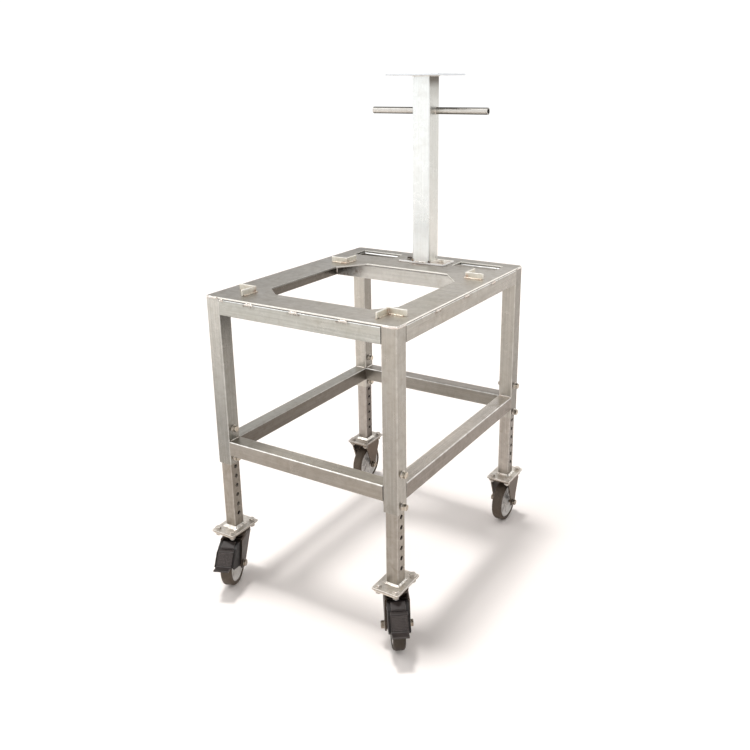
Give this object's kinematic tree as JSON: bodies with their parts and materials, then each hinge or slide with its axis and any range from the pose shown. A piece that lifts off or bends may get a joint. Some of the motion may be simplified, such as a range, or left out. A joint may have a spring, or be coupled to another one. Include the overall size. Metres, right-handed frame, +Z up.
{
  "type": "mobile equipment stand",
  "caption": "Height-adjustable stainless steel tube stand on casters, with a cut-out top plate, locating brackets and a rear post carrying a head plate and cross bar.",
  "frame": {"origin": "on the floor under the middle of the overall box, casters included", "axes": "+Z up, +X to the right seen from the front, +Y from the front towards the post at the back"},
  "size_m": [0.5924, 0.7684, 1.2164],
  "materials": {
    "tube_steel": "brushed stainless tube, satin",
    "plate_steel": "brushed stainless plate, satin with handling marks",
    "post_steel": "bright brushed stainless post",
    "zinc_steel": "zinc plated pressed steel",
    "bolt_steel": "plain steel fasteners",
    "black_nylon": "black glass-filled nylon",
    "tread_rubber": "dark brown-grey tread",
    "hub_grey": "grey moulded wheel centre"
  },
  "bodies": {
    "frame": {"top_plate": "plate_steel", "top_rail_front": "tube_steel", "top_rail_rear": "tube_steel", "top_rail_left": "tube_steel", "top_rail_right": "tube_steel", "cross_rail": "tube_steel", "lower_rail_front": "tube_steel", "lower_rail_rear": "tube_steel", "lower_rail_left": "tube_steel", "lower_rail_right": "tube_steel", "leg_sleeve_front_left": "tube_steel", "lock_screw_front_left_lower": "bolt_steel", "lock_screw_front_left_upper": "bolt_steel", "leg_sleeve_front_right": "tube_steel", "lock_screw_front_right_lower": "bolt_steel", "lock_screw_front_right_upper": "bolt_steel", "leg_sleeve_rear_right": "tube_steel", "lock_screw_rear_right_lower": "bolt_steel", "lock_screw_rear_right_upper": "bolt_steel", "leg_sleeve_rear_left": "tube_steel", "lock_screw_rear_left_lower": "bolt_steel", "lock_screw_rear_left_upper": "bolt_steel", "post_base_plate": "plate_steel", "post": "post_steel", "post_head_plate": "post_steel", "cross_bar": "tube_steel", "post_bolt_left": "bolt_steel", "post_bolt_right": "bolt_steel", "locating_bracket_front_left": "plate_steel", "locating_bracket_front_right": "plate_steel", "locating_bracket_rear_right": "plate_steel", "locating_bracket_rear_left": "plate_steel"},
    "leg_front_left": {"inner_leg_front_left": "tube_steel", "foot_plate_front_left": "zinc_steel", "caster_plate_front_left": "zinc_steel"},
    "swivel_front_left": {"caster_fork_front_left": "zinc_steel", "axle_front_left": "bolt_steel"},
    "pedal_front_left": {"brake_pedal_front_left": "black_nylon"},
    "wheel_front_left": {"tyre_front_left": "tread_rubber", "wheel_hub_front_left": "hub_grey"},
    "leg_front_right": {"inner_leg_front_right": "tube_steel", "foot_plate_front_right": "zinc_steel", "caster_plate_front_right": "zinc_steel"},
    "swivel_front_right": {"caster_fork_front_right": "zinc_steel", "axle_front_right": "bolt_steel"},
    "pedal_front_right": {"brake_pedal_front_right": "black_nylon"},
    "wheel_front_right": {"tyre_front_right": "tread_rubber", "wheel_hub_front_right": "hub_grey"},
    "leg_rear_right": {"inner_leg_rear_right": "tube_steel", "foot_plate_rear_right": "zinc_steel", "rigid_fork_rear_right": "zinc_steel", "axle_rear_right": "bolt_steel"},
    "wheel_rear_right": {"tyre_rear_right": "tread_rubber", "wheel_hub_rear_right": "hub_grey"},
    "leg_rear_left": {"inner_leg_rear_left": "tube_steel", "foot_plate_rear_left": "zinc_steel", "rigid_fork_rear_left": "zinc_steel", "axle_rear_left": "bolt_steel"},
    "wheel_rear_left": {"tyre_rear_left": "tread_rubber", "wheel_hub_rear_left": "hub_grey"}
  },
  "joints": [
    {"name": "leg_slide_front_left", "type": "slide", "parent": "frame", "child": "leg_front_left", "axis": [0, 0, 1], "range_m": [-0.0508, 0.1524]},
    {"name": "swivel_front_left", "type": "hinge", "parent": "leg_front_left", "child": "swivel_front_left", "pos_m": [-0.2587, -0.2687, 0.12], "axis": [0, 0, 1], "continuous": true},
    {"name": "brake_front_left", "type": "hinge", "parent": "swivel_front_left", "child": "pedal_front_left", "pos_m": [-0.24542, -0.29999, 0.056], "axis": [0.9205, 0.3907, 0], "range_deg": [0, 12]},
    {"name": "wheel_front_left", "type": "hinge", "parent": "swivel_front_left", "child": "wheel_front_left", "pos_m": [-0.24542, -0.29999, 0.056], "axis": [0.9205, 0.3907, 0], "continuous": true},
    {"name": "leg_slide_front_right", "type": "slide", "parent": "frame", "child": "leg_front_right", "axis": [0, 0, 1], "range_m": [-0.0508, 0.1524]},
    {"name": "swivel_front_right", "type": "hinge", "parent": "leg_front_right", "child": "swivel_front_right", "pos_m": [0.2112, -0.2687, 0.12], "axis": [0, 0, 1], "continuous": true},
    {"name": "brake_front_right", "type": "hinge", "parent": "swivel_front_right", "child": "pedal_front_right", "pos_m": [0.23142, -0.29603, 0.056], "axis": [0.8039, 0.5948, 0], "range_deg": [0, 12]},
    {"name": "wheel_front_right", "type": "hinge", "parent": "swivel_front_right", "child": "wheel_front_right", "pos_m": [0.23142, -0.29603, 0.056], "axis": [0.8039, 0.5948, 0], "continuous": true},
    {"name": "leg_slide_rear_right", "type": "slide", "parent": "frame", "child": "leg_rear_right", "axis": [0, 0, 1], "range_m": [-0.0508, 0.1524]},
    {"name": "wheel_rear_right", "type": "hinge", "parent": "leg_rear_right", "child": "wheel_rear_right", "pos_m": [0.2112, 0.3282, 0.056], "axis": [1, 0, 0], "continuous": true},
    {"name": "leg_slide_rear_left", "type": "slide", "parent": "frame", "child": "leg_rear_left", "axis": [0, 0, 1], "range_m": [-0.0508, 0.1524]},
    {"name": "wheel_rear_left", "type": "hinge", "parent": "leg_rear_left", "child": "wheel_rear_left", "pos_m": [-0.2587, 0.3282, 0.056], "axis": [1, 0, 0], "continuous": true}
  ]
}
